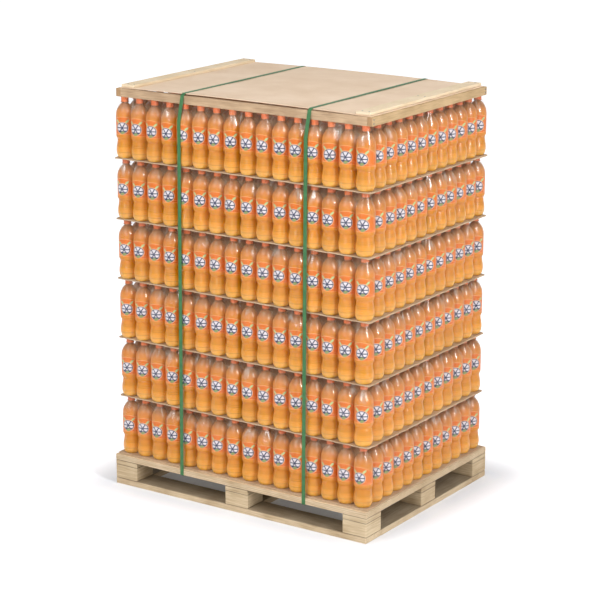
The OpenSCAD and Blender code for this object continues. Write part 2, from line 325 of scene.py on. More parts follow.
# The pallet: nine pine blocks on five bottom boards, a packing piece on each block
# and one deck panel, nailed from above and from below.
BLOCK = 0.108
BOARD_PLAY = 0.0003
WORN_EDGE, SAWN_EDGE = 0.0024, 0.0018
low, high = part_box("pallet_deck")
half_l, half_w, deck_low, deck_high = high.x, high.y, low.z, high.z
foot_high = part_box("pallet_bottom_boards")[1].z
block_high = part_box("pallet_blocks")[1].z
block_x, block_y = half_l - BLOCK / 2, half_w - BLOCK / 2
inner_y = half_w - BLOCK - BOARD_PLAY
feet = [((-half_l, s * block_y - BLOCK / 2, 0), (half_l, s * block_y + BLOCK / 2, foot_high))
        for s in (-1, 1)]
feet += [((s * block_x - BLOCK / 2, -inner_y, 0), (s * block_x + BLOCK / 2, inner_y, foot_high))
         for s in (-1, 0, 1)]
foot_pine = pine("pine board, band sawn", "#D5BF9E", "#A58C6A", along=(0,), ring=0.004, cross=inner_y,
                 joints=(foot_high,))
boards("bottom_boards", "pallet_bottom_boards", feet, foot_pine, edge=WORN_EDGE)


def at_blocks(z0, z1):
    return [((i * block_x - BLOCK / 2, j * block_y - BLOCK / 2, z0),
             (i * block_x + BLOCK / 2, j * block_y + BLOCK / 2, z1))
            for i in (-1, 0, 1) for j in (-1, 0, 1)]


block_pine = pine("pine block, slabbed", "#D2BD9B", "#A68D6A", along=(0, 1), ring=0.0044,
                  joints=(foot_high, block_high, deck_low))
boards("blocks", "pallet_blocks", at_blocks(foot_high, block_high), block_pine, edge=WORN_EDGE)
boards("block_tops", "pallet_block_tops", at_blocks(block_high, deck_low), block_pine, edge=SAWN_EDGE)


# The deck panel: one sheet of plywood, sawn to size and left bare. Its edges show
# seven plies, pale and dark in turn, and its faces a matte pine veneer.
DECK_PLIES = 7
PLY_DARK, PLY_PALE = 0.86, 1.04


def ply(name, pale, dark, z0, z1, plies):
    material = pine(name, pale, dark, along=(0,), ring=0.0034, joints=(z0,))
    tree = material.node_tree
    shader = tree.nodes["Principled BSDF"]
    veneer = shader.inputs["Base Color"].links[0].from_socket
    parts = add(tree, "ShaderNodeSeparateXYZ", (add(tree, "ShaderNodeTexCoord").outputs["Object"],))
    level = add(tree, MATH, (parts.outputs[2], z0), operation="SUBTRACT")
    level = add(tree, MATH, (level, plies / (z1 - z0)), operation="MULTIPLY")
    band = add(tree, MATH, (level, 1.0), operation="PINGPONG")
    share = add(tree, RANGE, (band, 0.35, 0.65, PLY_DARK, PLY_PALE))
    feed(tree, shader, {"Base Color": shaded(tree, veneer, share)})
    return material


deck_ply = ply("plywood panel, sawn edge", "#D8C1A1", "#B09671", deck_low, deck_high, DECK_PLIES)
boards("deck_panel", "pallet_deck", [((-half_l, -half_w, deck_low), (half_l, half_w, deck_high))],
       deck_ply, wander=0.0002, edge=SAWN_EDGE)


# The pads: one sheet of grey board under each layer, cut with rounded corners.
# Past the outer caps it hangs free, so its edge droops and waves a little.
CAP_ROW = 0.028
PAD_CORNER, PAD_EDGE, PAD_DROOP = 0.008, 0.0006, 0.0016
PAD_STEP, LONG_SIDE = 0.0125, 0.05
LAYERS = range(1, 7)


def pad_outline(half):
    """Points round the pad's edge, each with the way out of the pad there."""
    corners = []
    for start, sx, sy in ((0, 1, 1), (90, -1, 1), (180, -1, -1), (270, 1, -1)):
        centre = np.array([sx * (half[0] - PAD_CORNER), sy * (half[1] - PAD_CORNER)])
        for turn in range(0, 91, 15):
            a = math.radians(start + turn)
            corners.append((centre, np.array([math.cos(a), math.sin(a)])))
    outline = []
    for (centre, out), (next_centre, next_out) in zip(corners, corners[1:] + corners[:1]):
        here, there = centre + PAD_CORNER * out, next_centre + PAD_CORNER * next_out
        outline.append((here, out))
        gap = np.linalg.norm(there - here)
        if gap > LONG_SIDE:
            pieces = int(gap / PAD_STEP)
            outline += [(here + (there - here) * k / pieces, out) for k in range(1, pieces)]
    return outline


def board_pad(name, node, material, droop, seed):
    low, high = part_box(node)
    half = np.array([high.x, high.y])
    outline = pad_outline(half)
    rings = [(CAP_ROW, low.z, 0.0), (CAP_ROW / 2, low.z, 0.35), (PAD_EDGE, low.z, 1.0),
             (0.0, low.z + PAD_EDGE, 1.0), (0.0, high.z - PAD_EDGE, 1.0), (PAD_EDGE, high.z, 1.0),
             (CAP_ROW / 2, high.z, 0.35), (CAP_ROW, high.z, 0.0)]
    points = []
    for inset, z, share in rings:
        for p, out in outline:
            s = p[0] * 31 + p[1] * 27 + seed
            wave = 0.5 + 0.3 * math.sin(s * 2.1) + 0.2 * math.sin(s * 5.3 + 1)
            q = np.clip(p, inset - half, half - inset) if inset > PAD_CORNER else p - out * inset
            points.append((q[0], q[1], z - droop * wave * share))
    stands_for(mesh_object(name, points, loft(len(rings), len(outline)), material), node)


# Grey board is pressed from waste paper: matte, faintly felted, with a clouded tone.
# Its fibre clumps are drawn 2.4 mm across, several times the real size.
FIBRES_PER_M, CLOUDS_PER_M = 420.0, 14.0
grey_board, tree, shader = new_finish("grey board, die cut")
place = add(tree, "ShaderNodeTexCoord").outputs["Object"]
fibres = add(tree, "ShaderNodeTexNoise", {"Vector": place, "Scale": FIBRES_PER_M, "Detail": 3.0})
clouds = add(tree, "ShaderNodeTexNoise", {"Vector": place, "Scale": CLOUDS_PER_M, "Detail": 3.0})
tone = add(tree, MATH, (fibres, 0.4), operation="MULTIPLY")
tone = add(tree, MATH, (clouds, 0.7, tone), operation="MULTIPLY_ADD")
bump = add(tree, "ShaderNodeBump", {"Height": fibres, "Strength": 0.2, "Distance": 0.0004})
feed(tree, shader, {"Base Color": two_tone(tree, tone, 0.35, "#A88C70", 0.8, "#CDB596"), "Normal": bump,
                    "Roughness": 0.85, "Specular IOR Level": 0.2})
for k in LAYERS:
    board_pad(f"pad_{k}", f"layer_pad_{k}", grey_board, 0.0 if k == 1 else PAD_DROOP, 3.7 * k)


# The bottles: blown PET, filled, and packed upright side by side in a square grid.
# PET is hard, clear and glossy, so what shows is the cloudy orange drink under a
# clear skin. Its colour is painted paler at the heel, a painted light, and darker in the
# shoulder, a painted shade. Heights up the bottle are in millimetres.
PITCH, COLUMNS, ROWS = 0.075, 16, 12
BOTTLE_R = 0.0372
TALL = 242.0
SEAT_PLAY = 0.0001
FOOT_LOBES, LOBES_TOP, LOBES_FULL = 5, 34.0, 4.0
WAIST, WAIST_REACH, WAIST_CORE, WAIST_DEPTH = 72.0, 16.0, 4.0, 0.35
RIB_RATE = 0.9  # radians a millimetre, so a rib each 7 mm
GROOVE_SHADE_HEIGHTS = (49.0, 57.0, 24.0)
GROOVE_LINE, GROOVE_EDGE, GROOVE_SHADE = 0.7, 2.4, 0.74
layer_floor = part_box("bottles_layer_1")[0].z
LAYER_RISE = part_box("bottles_layer_2")[0].z - layer_floor


def in_the_grid(tree):
    """Where a point lies on its own bottle: the bearing round it, the height up it in millimetres,
    the bottle's column and row, and its own random number."""
    parts = add(tree, "ShaderNodeSeparateXYZ", (add(tree, "ShaderNodeTexCoord").outputs["Object"],))
    cell, local = [], []
    for axis, count in ((0, COLUMNS), (1, ROWS)):
        across = add(tree, MATH, (parts.outputs[axis], 1 / PITCH, count / 2), operation="MULTIPLY_ADD")
        cell.append(add(tree, MATH, (across,), operation="FLOOR"))
        in_cell = add(tree, MATH, (across,), operation="FRACT")
        local.append(add(tree, MATH, (in_cell, 0.5), operation="SUBTRACT"))
    level = add(tree, MATH, (parts.outputs[2], layer_floor - SEAT_PLAY), operation="SUBTRACT")
    level = add(tree, MATH, (level, LAYER_RISE), operation="DIVIDE")
    tier = add(tree, MATH, (level,), operation="FLOOR")
    in_tier = add(tree, MATH, (level,), operation="FRACT")
    key = add(tree, "ShaderNodeCombineXYZ", (cell[0], cell[1], tier))
    return {"bearing": add(tree, MATH, (local[1], local[0]), operation="ARCTAN2"),
            "height": add(tree, MATH, (in_tier, LAYER_RISE * 1000), operation="MULTIPLY"),
            "column": cell[0], "row": cell[1], "own": add(tree, "ShaderNodeTexWhiteNoise", {"Vector": key})}


def off_level(tree, height, level):
    """How far a height lies from a level, up or down."""
    over = add(tree, MATH, (height, level), operation="SUBTRACT")
    return add(tree, MATH, (over,), operation="ABSOLUTE")


def drink_in_bottle(name, stops, gloss=0.36):
    """stops: the drink's colours up the bottle, each at its height in millimetres."""
    material, tree, shader = new_finish(name)
    at = in_the_grid(tree)
    height = at["height"]
    ramp = add(tree, "ShaderNodeValToRGB", (add(tree, MATH, (height, TALL), operation="DIVIDE"),))
    while len(ramp.color_ramp.elements) < len(stops):
        ramp.color_ramp.elements.new(0.5)
    for element, (where, code) in zip(ramp.color_ramp.elements, stops):
        element.position, element.color = where / TALL, linear(code)
    colour = shaded(tree, ramp, add(tree, RANGE, {0: at["own"], 3: 0.93, 4: 1.06}))
    # Painted shade: darker rings at these heights stand in for the shade in the bottle's grooves, which the
    # relief does not model.
    for shade_level in GROOVE_SHADE_HEIGHTS:
        near = off_level(tree, height, shade_level)
        share = add(tree, RANGE, (near, GROOVE_LINE, GROOVE_EDGE, GROOVE_SHADE, 1.0))
        colour = shaded(tree, colour, share)
    lobes = add(tree, MATH, (at["bearing"], FOOT_LOBES), operation="MULTIPLY")
    lobes = add(tree, MATH, (lobes,), operation="COSINE")
    low_down = add(tree, RANGE, (height, LOBES_TOP, LOBES_FULL, 0.0, 1.0))
    ribs = add(tree, MATH, (height, RIB_RATE), operation="MULTIPLY")
    ribs = add(tree, MATH, (ribs,), operation="SINE")
    belt = add(tree, RANGE, (off_level(tree, height, WAIST), WAIST_REACH, WAIST_CORE, 0.0, WAIST_DEPTH))
    ribs = add(tree, MATH, (ribs, belt), operation="MULTIPLY")
    relief = add(tree, MATH, (lobes, low_down, ribs), operation="MULTIPLY_ADD")
    bump = add(tree, "ShaderNodeBump", {"Height": relief, "Strength": 0.5, "Distance": 0.0012})
    # Painted glow: the drink gives off a little light in its own colour, standing in for light passing
    # through it.
    feed(tree, shader, {
        "Base Color": colour, "Emission Color": colour, "Emission Strength": 0.1, "Normal": bump,
        "Roughness": 0.35, "IOR": 1.57, "Specular IOR Level": 0.2, "Subsurface Weight": 0.5,
        "Subsurface Radius": (1.0, 0.6, 0.25), "Subsurface Scale": 0.02, "Coat Normal": bump,
        "Coat Weight": gloss, "Coat Roughness": 0.07, "Coat IOR": 1.5})
    return material


def dress(prefix, material):
    for node_name, node in cad.items():
        if node_name.startswith(prefix):
            for slot in node.material_slots:
                slot.material = material


# The stops run paler low down, a painted light, and darker from 190 mm up, a painted shade.
orange_drink = drink_in_bottle("cloudy orange drink in clear PET", (
    (0, "#CC963E"), (14, "#D89C40"), (32, "#D28E2A"), (50, "#CC840C"), (72, "#C67A06"), (172, "#C87A1C"),
    (190, "#C0762A"), (204, "#A06024"), (216, "#8C5226")))
dress("bottles_layer_", orange_drink)


# The labels: sleeves of thin film, printed on the inside and shrunk on, so they are
# satin. They are orange red with pale lines, a citrus wheel in white on dark blue
# and pale green leaves, with no lettering. Lengths in millimetres on the sleeve.
LABEL_FOOT, LABEL_TALL = 85.0, 84.0
# The bearings, in degrees, that each side's labels face, and how far each leans.
BACK_FACING, LEFT_FACING, RIGHT_FACING, FRONT_FACING = 102, 168, -48, -78
LEAN = 8
WAVE_RATE, WAVE_RISE, WAVE_UP = 0.0806, 5.0, 17.0  # one wave is 78 mm long
FADE_FROM, FADE_TO = 7.0, 13.0
ARCH_BEND, ARCH_UP = -0.0075, LABEL_TALL - 2.5
FOOT_LINE_UP = 11.0
WAVE_LINE, PALE_LINE = 0.9, 1.1
LEAF_R, LEAF_SQUEEZE = 10.0, 2.3
WHEEL_UP, WHEEL_SQUEEZE = 38.0, 1.12
SEGMENTS, SPOKE, FLESH_R, FLESH_DOWN = 6, 2.2, 21.6, 12.5
LOW_LEAF_DOWN, LOW_LEAF_R, LOW_LEAF_SQUEEZE = 19.5, 9.0, 1.5
label_film, tree, shader = new_finish("printed label film, reverse gravure")
at = in_the_grid(tree)
facing = math.radians(BACK_FACING)
for way, test, limit, turn in (("column", "LESS_THAN", 0.5, LEFT_FACING),
                               ("column", "GREATER_THAN", COLUMNS - 1.5, RIGHT_FACING),
                               ("row", "LESS_THAN", 0.5, FRONT_FACING)):
    on_side = add(tree, MATH, (at[way], limit), operation=test)
    facing = add(tree, MIX, {0: on_side, 2: facing, 3: math.radians(turn)})
lean = add(tree, MATH, (at["own"], math.radians(2 * LEAN), math.radians(-LEAN)), operation="MULTIPLY_ADD")
offset = add(tree, MATH, (at["bearing"], facing), operation="SUBTRACT")
offset = add(tree, MATH, (offset, lean), operation="SUBTRACT")
offset = add(tree, MATH, (offset, math.pi, -math.pi), operation="WRAP")
across = add(tree, MATH, (offset, BOTTLE_R * 1000), operation="MULTIPLY")
up = add(tree, MATH, (at["height"], LABEL_FOOT), operation="SUBTRACT")


def inside(tree, value, edge, soft=0.6):
    """1 where the value is under the edge, 0 where it is over."""
    return add(tree, RANGE, (value, edge - soft, edge + soft, 1.0, 0.0))


def painted(tree, under, mask, code):
    return add(tree, MIX, {0: mask, 6: under, 7: linear(code)}, data_type="RGBA").outputs[2]


def disc(tree, x, y, squeeze=1.0, turn=0.0):
    """How far the sleeve's points lie from one at x, y, squeezed along its turned second axis, and
    how far along each axis."""
    dx = add(tree, MATH, (across, x), operation="SUBTRACT")
    dy = add(tree, MATH, (up, y), operation="SUBTRACT")
    c, s = math.cos(math.radians(turn)), math.sin(math.radians(turn))
    a = add(tree, MATH, (dx, c, add(tree, MATH, (dy, s), operation="MULTIPLY")), operation="MULTIPLY_ADD")
    b = add(tree, MATH, (dy, c, add(tree, MATH, (dx, -s), operation="MULTIPLY")), operation="MULTIPLY_ADD")
    b = add(tree, MATH, (b, squeeze), operation="MULTIPLY")
    square = add(tree, MATH, (a, a, add(tree, MATH, (b, b), operation="MULTIPLY")), operation="MULTIPLY_ADD")
    return add(tree, MATH, (square,), operation="SQRT"), a, b


colour = add(tree, "ShaderNodeRGB").outputs[0]
colour.default_value = linear("#D36C1A")
wave = add(tree, MATH, (across, WAVE_RATE), operation="MULTIPLY")
wave = add(tree, MATH, (wave,), operation="SINE")
wave = add(tree, MATH, (wave, WAVE_RISE, WAVE_UP), operation="MULTIPLY_ADD")
over_wave = add(tree, MATH, (up, wave), operation="SUBTRACT")
colour = painted(tree, colour, inside(tree, over_wave, 0.0), "#CC6418")
foot_fade = add(tree, RANGE, (up, FADE_FROM, FADE_TO, 1.0, 0.0))
colour = painted(tree, colour, foot_fade, "#CC7E12")
off_wave = add(tree, MATH, (over_wave,), operation="ABSOLUTE")
colour = painted(tree, colour, inside(tree, off_wave, WAVE_LINE), "#F29A5C")
arch = add(tree, MATH, (across, across), operation="MULTIPLY")
arch = add(tree, MATH, (arch, ARCH_BEND, ARCH_UP), operation="MULTIPLY_ADD")
over_arch = add(tree, MATH, (up, arch), operation="SUBTRACT")
bare = add(tree, MATH, (1.0, inside(tree, over_arch, 0.0)), operation="SUBTRACT")
colour = painted(tree, colour, bare, "#C67A28")
off_arch = add(tree, MATH, (over_arch,), operation="ABSOLUTE")
for off_line, code in ((off_arch, "#E4A064"), (off_level(tree, up, FOOT_LINE_UP), "#EE9A50")):
    colour = painted(tree, colour, inside(tree, off_line, PALE_LINE), code)
for leaf_x, leaf_y, turn in ((21.0, 64.0, 40.0), (-20.0, 63.0, 140.0)):
    leaf = disc(tree, leaf_x, leaf_y, LEAF_SQUEEZE, turn)[0]
    colour = painted(tree, colour, inside(tree, leaf, LEAF_R), "#AEBD80")
far, a, b = disc(tree, 0.0, WHEEL_UP, WHEEL_SQUEEZE)
for radius, code in (26.5, "#F0C8A8"), (24.6, "#2A3350"):
    colour = painted(tree, colour, inside(tree, far, radius), code)
turned = add(tree, MATH, (b, a), operation="ARCTAN2")
turned = add(tree, MATH, (turned, SEGMENTS / (2 * math.pi)), operation="MULTIPLY")
turned = add(tree, MATH, (turned, SEGMENTS), operation="ADD")
from_spoke = add(tree, MATH, (turned, 0.5), operation="PINGPONG")
from_spoke = add(tree, MATH, (from_spoke, far), operation="MULTIPLY")
from_spoke = add(tree, MATH, (from_spoke, 2 * math.pi / SEGMENTS), operation="MULTIPLY")
off_spoke = add(tree, MATH, (1.0, inside(tree, from_spoke, SPOKE)), operation="SUBTRACT")
under_middle = add(tree, MATH, (b, -1.0), operation="MULTIPLY")
flesh = add(tree, MATH, (inside(tree, under_middle, FLESH_DOWN), inside(tree, far, FLESH_R)),
            operation="MULTIPLY")
flesh = add(tree, MATH, (off_spoke, flesh), operation="MULTIPLY")
colour = painted(tree, colour, flesh, "#D2CCD0")
low_leaf = disc(tree, 1.0, WHEEL_UP - LOW_LEAF_DOWN, LOW_LEAF_SQUEEZE, 15.0)[0]
colour = painted(tree, colour, inside(tree, low_leaf, LOW_LEAF_R), "#84905A")
feed(tree, shader, {"Base Color": colour, "Roughness": 0.35, "Specular IOR Level": 0.25,
                    "Coat Weight": 0.28, "Coat Roughness": 0.12})
dress("labels_layer_", label_film)


# The caps: orange polypropylene screw caps, moulded with a knurl round the skirt,
# over a smooth tear-off band. The plastic is satin. The ribs, 1.6 mm apart, have
# their real size, too fine to show one by one from the camera.
CAP_RIBS = 60
BAND_TOP, BAND_STEP = 228.0, 0.5
RIB_DEPTH = 0.0005
cap_plastic, tree, shader = new_finish("orange polypropylene, moulded")
at = in_the_grid(tree)
ribs = add(tree, MATH, (at["bearing"], CAP_RIBS), operation="MULTIPLY")
ribs = add(tree, MATH, (ribs,), operation="COSINE")
over_band = add(tree, RANGE, (at["height"], BAND_TOP - BAND_STEP, BAND_TOP + BAND_STEP, 0.0, 1.0))
ribs = add(tree, MATH, (ribs, over_band), operation="MULTIPLY")
knurl = add(tree, "ShaderNodeBump", {"Height": ribs, "Strength": 0.6, "Distance": RIB_DEPTH})
colour = add(tree, MIX, {0: at["own"], 6: linear("#D8642A"), 7: linear("#E07438")}, data_type="RGBA")
feed(tree, shader, {"Base Color": colour.outputs[2], "Normal": knurl, "Roughness": 0.38})
dress("caps_layer_", cap_plastic)


# The bottles inside a layer: the same bottles in the shade of the outer row, drawn in a greyer,
# duller copy of the drink, a painted shade. Between the outer necks their shoulders and caps show, dim and
# brown.
shaded_drink = drink_in_bottle("orange drink in PET, inner rows", (
    (0, "#C98A48"), (100, "#C98834"), (168, "#C58A50"), (200, "#B08058"), (218, "#B4826A"), (224, "#D2764A"),
    (242, "#DA7C52")), gloss=0.3)
dress("inner_bottles_layer_", shaded_drink)


# The film: each pack of four by six bottles is shrunk into its own clear film.
# It lies tight on the bottles, sinks in between their necks, and turns in at the
# joint of two packs. Only the outer wall of each layer is made, heel to cap.
PACKS = {0: 4, 1: 6}
FILM_THICK = 0.0003
CLING = 0.00035
TOUCH = BOTTLE_R + CLING
FOOT_R, HEEL_TALL = 0.025, 0.031
CAP_R, CAP_TOP = 0.0153, 0.2404
LIFT, RIPPLE = 0.0011, 0.0003
JOINT_SHARE, JOINT_IN = 0.22, 0.002
film_rows = []  # distance from the bottle's axis, height, sag between bottles, slack
for turn in (45, 58, 72, 86):
    a = math.radians(turn)
    film_rows.append((FOOT_R + (BOTTLE_R - FOOT_R) * math.sin(a) + CLING, HEEL_TALL * (1 - math.cos(a)),
                      0.0012, 0.0))
for z, sag, slack in ((0.05, 0.002, 0.0002), (0.075, 0.0026, 0.0007), (0.1, 0.0022, 0.0003),
                      (0.135, 0.0022, 0.0002), (0.169, 0.003, 0.0)):
    film_rows.append((TOUCH, z, sag, slack))
film_rows += [(0.03735, 0.1772, 0.0045, 0.0), (0.0358, 0.1854, 0.006, 0.0)]
shoulder_r, shoulder_z = film_rows[-1][:2]
for s in (0.3, 0.6, 0.85, 1.0):
    film_rows.append((shoulder_r + (CAP_R - shoulder_r) * s, shoulder_z + (CAP_TOP - shoulder_z) * s,
                      0.006 + 0.004 * math.sin(math.pi * s) - 0.004 * s, 0.0006 * math.sin(math.pi * s)))


def film_columns():
    """The skin's columns round a layer: the axis each is measured from, its direction from there,
    how far it lies between two bottles, or -1 in a joint of packs, and the side's way out."""
    columns = []
    reach = {0: (COLUMNS - 1) / 2 * PITCH, 1: (ROWS - 1) / 2 * PITCH}
    ways = (((1, 0), (0, -1)), ((0, 1), (1, 0)), ((-1, 0), (0, 1)), ((0, -1), (-1, 0)))
    for side, (t, n) in enumerate(ways):
        t, n = np.array(t, float), np.array(n, float)
        long_way = side % 2
        count, pack = (COLUMNS, ROWS)[long_way], PACKS[long_way]
        row_out = n * reach[1 - long_way]
        for i in range(count):
            axis = row_out + t * (i - (count - 1) / 2) * PITCH
            columns.append((axis, n, 0.0, n))
            if i == count - 1:
                for turn in (15, 30, 45, 60, 75):
                    a = math.radians(turn)
                    columns.append((axis, n * math.cos(a) + t * math.sin(a), 0.0, n))
            elif (i + 1) % pack == 0:
                for turn in (28, 52, 72):
                    a = math.radians(turn)
                    columns.append((axis, n * math.cos(a) + t * math.sin(a), 0.0, n))
                columns.append((axis + t * PITCH / 2, n * 0.0, -1.0, n))
                for turn in (72, 52, 28):
                    a = math.radians(turn)
                    columns.append((axis + t * PITCH, n * math.cos(a) - t * math.sin(a), 0.0, n))
            else:
                for f in (0.15, 0.32, 0.5, 0.68, 0.85):
                    columns.append((axis + t * f * PITCH, n, min(f, 1 - f), n))
    return columns


def film_skin(name, node, material, floor_z, seed):
    columns = film_columns()
    noise = np.random.RandomState(seed)
    tight = noise.uniform(0.55, 1.25, len(columns))
    lift = noise.uniform(0.0, LIFT, (len(columns), len(film_rows)))
    rings = 2 * len(film_rows)
    points = []
    for k, (out, z, sag, slack) in enumerate(film_rows + film_rows[::-1]):
        inner = k >= len(film_rows)
        row = rings - 1 - k if inner else k
        shell = -FILM_THICK if inner else 0.0
        for i, (axis, u, between, n) in enumerate(columns):
            if between < 0:
                p = axis + n * (out * JOINT_SHARE - JOINT_IN + shell)
            elif between > 0:
                x = between * PITCH
                free = out - math.sqrt(max(out * out - x * x, 0.0))
                depth = min(free * 0.9, sag * tight[i] * math.sin(math.pi * between))
                p = axis + n * (out - depth + slack * tight[i] + lift[i][row] * between * 1.4 + shell)
            else:
                p = axis + u * (out + slack + RIPPLE * lift[i][row] / LIFT + shell)
            points.append((p[0], p[1], floor_z + z))
    faces = loft(rings, len(columns), closed=True)
    stands_for(mesh_object(name, points, faces, material, smooth=True), node)


# Polyethylene film is thin and clear, so most of it is only seen by its shine: weak
# where it lies on a bottle, with glints and a milky veil where it is drawn in folds
# between the shoulders. The folds are 40 mm wide and 140 mm long, the fine ones
# 7 by 33 mm.
FOLDS = (26.0, 26.0, 7.0)  # folds a metre, across the load and up it
FINE_FOLDS = (150.0, 150.0, 30.0)
FOLD_DEPTH = 0.003
NECK_FROM, NECK_TO = 168.0, 205.0
CAP_FROM, CAP_TO, CAP_SHARE = 212.0, 226.0, 0.25
clear_film, tree, shader = new_finish("clear polyethylene film, shrunk")
tree.nodes.remove(shader)
place = add(tree, "ShaderNodeTexCoord").outputs["Object"]
height = in_the_grid(tree)["height"]
folds_way = add(tree, "ShaderNodeMapping", {"Vector": place, "Scale": FOLDS,
                                            "Rotation": (math.radians(24), math.radians(-18), 0.0)})
folds = add(tree, "ShaderNodeTexNoise", {"Vector": folds_way, "Scale": 1.0, "Detail": 3.0,
                                         "Distortion": 0.8})
fine_way = add(tree, "ShaderNodeMapping", {"Vector": place, "Scale": FINE_FOLDS})
fine = add(tree, "ShaderNodeTexNoise", {"Vector": fine_way, "Scale": 1.0, "Detail": 2.0})
relief = add(tree, MATH, (fine, 0.25, folds), operation="MULTIPLY_ADD")
bump = add(tree, "ShaderNodeBump", {"Height": relief, "Strength": 0.35, "Distance": FOLD_DEPTH})
sheen = add(tree, "ShaderNodeBsdfGlossy", {"Color": linear("#FFFFFF"), "Roughness": 0.16, "Normal": bump})
haze = add(tree, "ShaderNodeBsdfDiffuse", {"Color": linear("#D8BE9C"), "Normal": bump})
at_necks = add(tree, RANGE, (height, NECK_FROM, NECK_TO, 0.0, 1.0))
at_caps = add(tree, RANGE, (height, CAP_FROM, CAP_TO, 1.0, CAP_SHARE))
bridging = add(tree, MATH, (at_necks, at_caps), operation="MULTIPLY")
milky = add(tree, RANGE, (folds, 0.42, 0.74, 0.0, 0.1))
milky_share = add(tree, MATH, (bridging, 0.9, 0.1), operation="MULTIPLY_ADD")
milky = add(tree, MATH, (milky, milky_share), operation="MULTIPLY")
veil = add(tree, MATH, (bridging, 0.05, milky), operation="MULTIPLY_ADD")
surface = add(tree, "ShaderNodeMixShader", (veil, add(tree, "ShaderNodeBsdfTransparent"), haze))
edge_on = add(tree, "ShaderNodeLayerWeight", {"Blend": 0.22, "Normal": bump}).outputs["Fresnel"]
gloss_share = add(tree, RANGE, (edge_on, 0.0, 1.0, 0.006, 0.012))
glints = add(tree, RANGE, (folds, 0.58, 0.7, 0.0, 0.12))
share = add(tree, MATH, (glints, bridging, gloss_share), operation="MULTIPLY_ADD")
film_finish = add(tree, "ShaderNodeMixShader", (share, surface, sheen))
feed(tree, tree.nodes["Material Output"], {"Surface": film_finish})
for k in LAYERS:
    film_skin(f"film_skin_{k}", f"film_layer_{k}", clear_film, layer_floor + (k - 1) * LAYER_RISE, 40 + k)


# The top frame: four rough pine boards on edge, the end boards nailed over the
# ends of the long ones. The long ones are darker stock than the ends.
END_GRAIN_DEPTH = 0.0008
side_pine = pine("pine, rough and darkened", "#C9AC8A", "#94765A", along=(0,), ring=0.003, ridges=0.35,
                 roughness=0.85)
end_pine = pine("pine, planed", "#C9AA80", "#A1845A", along=(1,), ring=0.003)
tree = end_pine.node_tree
shader = tree.nodes["Principled BSDF"]
parts = add(tree, "ShaderNodeSeparateXYZ", (add(tree, "ShaderNodeTexCoord").outputs["Object"],))
off_middle = add(tree, MATH, (parts.outputs[1],), operation="ABSOLUTE")
cut_end = add(tree, MATH, (off_middle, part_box("top_rim_right")[1].y - END_GRAIN_DEPTH),
              operation="GREATER_THAN")
planed = shader.inputs["Base Color"].links[0].from_socket
feed(tree, shader, {"Base Color": painted(tree, planed, cut_end, "#A88662")})
for side, stock in (("front", side_pine), ("back", side_pine), ("left", end_pine), ("right", end_pine)):
    boards(f"rim_{side}", f"top_rim_{side}", [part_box(f"top_rim_{side}")], stock)


# The top sheet: thin board laid on the frame and held by slats and straps. It bows
# up in its middle and ripples a little where it hangs free between the boards.
SHEET_T = 0.003
SHEET_COLUMNS, SHEET_ROWS = 48, 34
RIPPLE_DEPTH = 0.0006


def top_sheet(low, high):
    """Points and faces of the bowed sheet: a grid for each face, and a rim between them."""
    rise = high.z - low.z - SHEET_T
    nx, ny = SHEET_COLUMNS, SHEET_ROWS
    points = []
    for level in (0.0, SHEET_T):
        for j in range(ny + 1):
            for i in range(nx + 1):
                x, y = low.x + (high.x - low.x) * i / nx, low.y + (high.y - low.y) * j / ny
                free = (1 - (x / high.x) ** 2) * (1 - (y / high.y) ** 2)
                ripple = -RIPPLE_DEPTH * free * (2 + math.sin(x * 19 + y * 5) + math.sin(y * 23 - x * 7 + 1))
                points.append((x, y, low.z + level + rise * (1 - (x / high.x) ** 2) + ripple))
    w, top = nx + 1, (nx + 1) * (ny + 1)
    faces = []
    for j in range(ny):
        for i in range(nx):
            a = j * w + i
            faces += [[a, a + w, a + w + 1, a + 1], [top + a, top + a + 1, top + a + w + 1, top + a + w]]
    rim = list(range(nx)) + [nx + j * w for j in range(ny)] + [ny * w + nx - i for i in range(nx)]
    rim += [(ny - j) * w for j in range(ny)]
    faces += [[a, b, top + b, top + a] for a, b in zip(rim, rim[1:] + rim[:1])]
    return points, faces


# Smooth board is matte and even, with faint clouds about 170 mm across; its fibres
# are drawn 2.6 mm across, several times the real size, and only as relief.
SHEET_CLOUDS_PER_M, SHEET_FIBRES_PER_M = 6.0, 380.0
sheet_board, tree, shader = new_finish("top sheet board")
place = add(tree, "ShaderNodeTexCoord").outputs["Object"]
clouds = add(tree, "ShaderNodeTexNoise", {"Vector": place, "Scale": SHEET_CLOUDS_PER_M, "Detail": 5.0,
                                          "Roughness": 0.6})
fibres = add(tree, "ShaderNodeTexNoise", {"Vector": place, "Scale": SHEET_FIBRES_PER_M, "Detail": 2.0})
bump = add(tree, "ShaderNodeBump", {"Height": fibres, "Strength": 0.2, "Distance": 0.0003})
feed(tree, shader, {"Base Color": two_tone(tree, clouds, 0.3, "#E2C6A8", 0.72, "#F0D8BE"), "Normal": bump,
                    "Roughness": 0.8, "Specular IOR Level": 0.25})
points, faces = top_sheet(*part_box("top_sheet"))
sheet = mesh_object("sheet", points, faces, sheet_board)
stands_for(sheet, "top_sheet")


# The slats: two planed pine boards, one nailed across each end of the sheet, which
# hold the sheet down and carry a second load.
slat_pine = pine("pine, planed and pale", "#EFDCBE", "#DCC39C", along=(1,), ring=0.0028, ridges=0.15)
for side in ("left", "right"):
    boards(f"slat_{side}", f"top_slat_{side}", [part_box(f"top_slat_{side}")], slat_pine)


# The straps: two green polyester bands, each drawn tight round the load and
# under the deck. Each bends round what it passes, and is embossed with a chequer.
STRAP_T, BEND, BEND_STEPS = 0.001, 0.0018, 4
RIB_LONG, RIB_WIDE, RIB_HIGH = 0.0025, 0.0032, 0.0002
TINTS_PER_M = 60.0  # patches of tint about 17 mm across


def face_out(thing):
    """Turn the mesh's faces outwards."""
    shell = bmesh.new()
    shell.from_mesh(thing.data)
    bmesh.ops.recalc_face_normals(shell, faces=shell.faces)
    shell.to_mesh(thing.data)
    shell.free()


